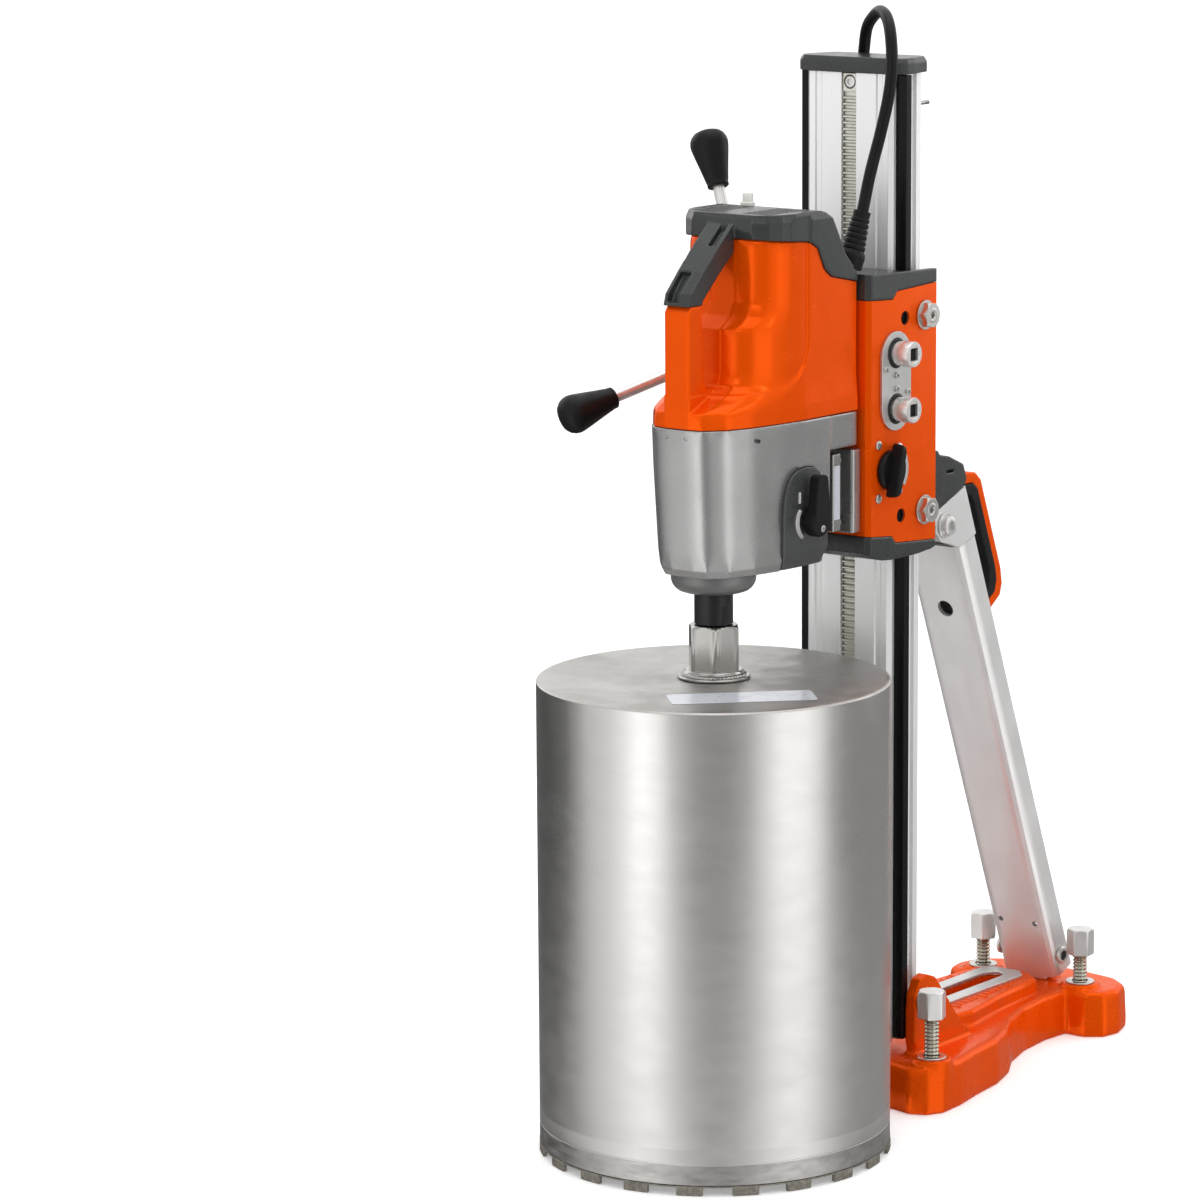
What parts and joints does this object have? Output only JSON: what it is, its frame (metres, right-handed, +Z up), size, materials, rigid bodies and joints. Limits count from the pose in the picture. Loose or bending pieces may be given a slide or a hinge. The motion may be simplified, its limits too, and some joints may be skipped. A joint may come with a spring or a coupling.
{
  "type": "core drill rig",
  "caption": "Stand-mounted concrete core drill: tilting column on a slotted base, rear brace, rack-fed carriage with crank, drill motor and large hollow core bit.",
  "frame": {"origin": "on the floor plane, on the underside of the base plate, under the centre line of the column", "axes": "+Z up along the column at rest; +X towards the side with the two square feed sockets; -Y towards the core bit, +Y towards the brace"},
  "size_m": [0.3824, 0.8159, 1.1229],
  "materials": {
    "orange_paint": "glossy orange powder coat over castings and sheet",
    "grey_plastic": "fine-textured dark grey moulded plastic",
    "black_rubber": "black, semi-matt",
    "cast_silver": "satin silver lacquer on cast aluminium",
    "anodised": "natural anodised extrusion with fine lengthwise lines",
    "brushed_bit": "brushed bare steel tube",
    "zinc": "bright zinc plate",
    "dark_steel": "blackened steel"
  },
  "bodies": {
    "base": {"base_plate": "orange_paint", "anchor_plate": "zinc", "tilt_bolt": "zinc", "strut_foot_bolt": "dark_steel"},
    "leveller_front_right": {"screw_front_right": "zinc"},
    "leveller_front_left": {"screw_front_left": "zinc"},
    "leveller_rear_right": {"screw_rear_right": "zinc"},
    "leveller_rear_left": {"screw_rear_left": "zinc"},
    "column": {"column": "anodised", "rail_left": "dark_steel", "rail_right": "dark_steel", "rack": "zinc", "column_cap": "grey_plastic"},
    "strut_slider": {"strut_slider": "zinc", "slider_clamp": "zinc"},
    "strut": {"strut_tube": "anodised", "strut_fork": "anodised", "strut_cap": "grey_plastic", "carry_handle": "orange_paint", "carry_grip": "black_rubber", "strut_bolt_right": "zinc", "strut_bolt_left": "zinc"},
    "carriage": {"carriage_housing": "orange_paint", "carriage_cap_bottom": "grey_plastic", "carriage_cap_top": "grey_plastic", "shaft_plate": "anodised", "lock_plate": "black_rubber", "mount_plate": "cast_silver", "motor_bracket": "cast_silver", "gearbox_cover": "cast_silver", "roller_axle_right_low": "zinc", "roller_axle_right_high": "zinc", "roller_axle_left_low": "zinc", "roller_axle_left_high": "zinc", "gear_case": "cast_silver", "gear_case_panel": "grey_plastic", "motor_housing": "orange_paint", "top_cover": "grey_plastic", "bearing_nose": "grey_plastic", "stator": "dark_steel", "cable_gland": "grey_plastic", "power_cable": "black_rubber"},
    "roller_right_low": {"roller_right_low": "dark_steel"},
    "roller_right_high": {"roller_right_high": "dark_steel"},
    "roller_left_low": {"roller_left_low": "dark_steel"},
    "roller_left_high": {"roller_left_high": "dark_steel"},
    "feed_lower": {"feed_shaft_lower": "zinc"},
    "feed_crank": {"feed_shaft_upper": "zinc", "crank_hub": "zinc", "crank_knob_1": "black_rubber", "crank_knob_2": "black_rubber", "crank_knob_3": "black_rubber"},
    "lock": {"lock_knob": "grey_plastic"},
    "selector": {"gear_selector": "black_rubber"},
    "spindle": {"spindle": "dark_steel", "bit_hub": "zinc", "bit_barrel": "brushed_bit", "segment_crown": "dark_steel"},
    "layshaft": {"layshaft": "zinc"},
    "rotor": {"rotor": "zinc"}
  },
  "joints": [
    {"name": "column_tilt", "type": "hinge", "parent": "base", "child": "column", "pos_m": [0, 0, 0.105], "axis": [-1, 0, 0], "range_deg": [0, 45]},
    {"name": "strut_pivot", "type": "hinge", "parent": "base", "child": "strut", "pos_m": [0, 0.322, 0.08], "axis": [-1, 0, 0], "range_deg": [0, 54]},
    {"name": "strut_slide", "type": "slide", "parent": "column", "child": "strut_slider", "axis": [0, 0, 1], "range_m": [0, 0.266]},
    {"name": "carriage_slide", "type": "slide", "parent": "column", "child": "carriage", "axis": [0, 0, 1], "range_m": [-0.42, 0.185], "deforming": ["power_cable"]},
    {"name": "feed_lower_turn", "type": "hinge", "parent": "carriage", "child": "feed_lower", "pos_m": [0, -0.051, 0.726], "axis": [1, 0, 0], "range_deg": [-420, 940]},
    {"name": "feed_crank_turn", "type": "hinge", "parent": "carriage", "child": "feed_crank", "pos_m": [0, -0.051, 0.782], "axis": [1, 0, 0], "range_deg": [-1680, 745]},
    {"name": "lock_turn", "type": "hinge", "parent": "carriage", "child": "lock", "pos_m": [0.08, -0.061, 0.665], "axis": [1, 0, 0], "range_deg": [0, 90]},
    {"name": "gear_select", "type": "hinge", "parent": "carriage", "child": "selector", "pos_m": [0.074, -0.1825, 0.629], "axis": [1, 0, 0], "range_deg": [-60, 60]},
    {"name": "spindle_turn", "type": "hinge", "parent": "carriage", "child": "spindle", "pos_m": [0, -0.254, 0.56], "axis": [0, 0, 1], "continuous": true},
    {"name": "layshaft_turn", "type": "hinge", "parent": "carriage", "child": "layshaft", "pos_m": [0, -0.21, 0.667], "axis": [0, 0, 1], "continuous": true},
    {"name": "rotor_turn", "type": "hinge", "parent": "carriage", "child": "rotor", "pos_m": [0, -0.165, 0.79], "axis": [0, 0, 1], "continuous": true},
    {"name": "level_front_right", "type": "slide", "parent": "base", "child": "leveller_front_right", "axis": [0, 0, 1], "range_m": [-0.015, 0.02]},
    {"name": "level_front_left", "type": "slide", "parent": "base", "child": "leveller_front_left", "axis": [0, 0, 1], "range_m": [-0.015, 0.02]},
    {"name": "level_rear_right", "type": "slide", "parent": "base", "child": "leveller_rear_right", "axis": [0, 0, 1], "range_m": [-0.015, 0.02]},
    {"name": "level_rear_left", "type": "slide", "parent": "base", "child": "leveller_rear_left", "axis": [0, 0, 1], "range_m": [-0.015, 0.02]},
    {"name": "roller_right_low_turn", "type": "hinge", "parent": "carriage", "child": "roller_right_low", "pos_m": [0.0598, 0.002, 0.617], "axis": [1, 0, 0], "range_deg": [-2110, 935]},
    {"name": "roller_right_high_turn", "type": "hinge", "parent": "carriage", "child": "roller_right_high", "pos_m": [0.0598, 0.002, 0.815], "axis": [1, 0, 0], "range_deg": [-2110, 935]},
    {"name": "roller_left_low_turn", "type": "hinge", "parent": "carriage", "child": "roller_left_low", "pos_m": [-0.0598, 0.002, 0.617], "axis": [1, 0, 0], "range_deg": [-2110, 935]},
    {"name": "roller_left_high_turn", "type": "hinge", "parent": "carriage", "child": "roller_left_high", "pos_m": [-0.0598, 0.002, 0.815], "axis": [1, 0, 0], "range_deg": [-2110, 935]}
  ],
  "couplings": [
    {"joint": "strut_pivot", "follows": "column_tilt", "ratio": 1.188},
    {"joint": "strut_slide", "follows": "column_tilt", "m_per_rad": 0.3349},
    {"joint": "feed_lower_turn", "follows": "carriage_slide", "rad_per_m": -38.462},
    {"joint": "feed_crank_turn", "follows": "carriage_slide", "rad_per_m": 69.231},
    {"joint": "layshaft_turn", "follows": "spindle_turn", "ratio": -2.6667},
    {"joint": "rotor_turn", "follows": "spindle_turn", "ratio": 9.3333},
    {"joint": "roller_right_low_turn", "follows": "carriage_slide", "rad_per_m": 86.957},
    {"joint": "roller_right_high_turn", "follows": "carriage_slide", "rad_per_m": 86.957},
    {"joint": "roller_left_low_turn", "follows": "carriage_slide", "rad_per_m": 86.957},
    {"joint": "roller_left_high_turn", "follows": "carriage_slide", "rad_per_m": 86.957}
  ]
}
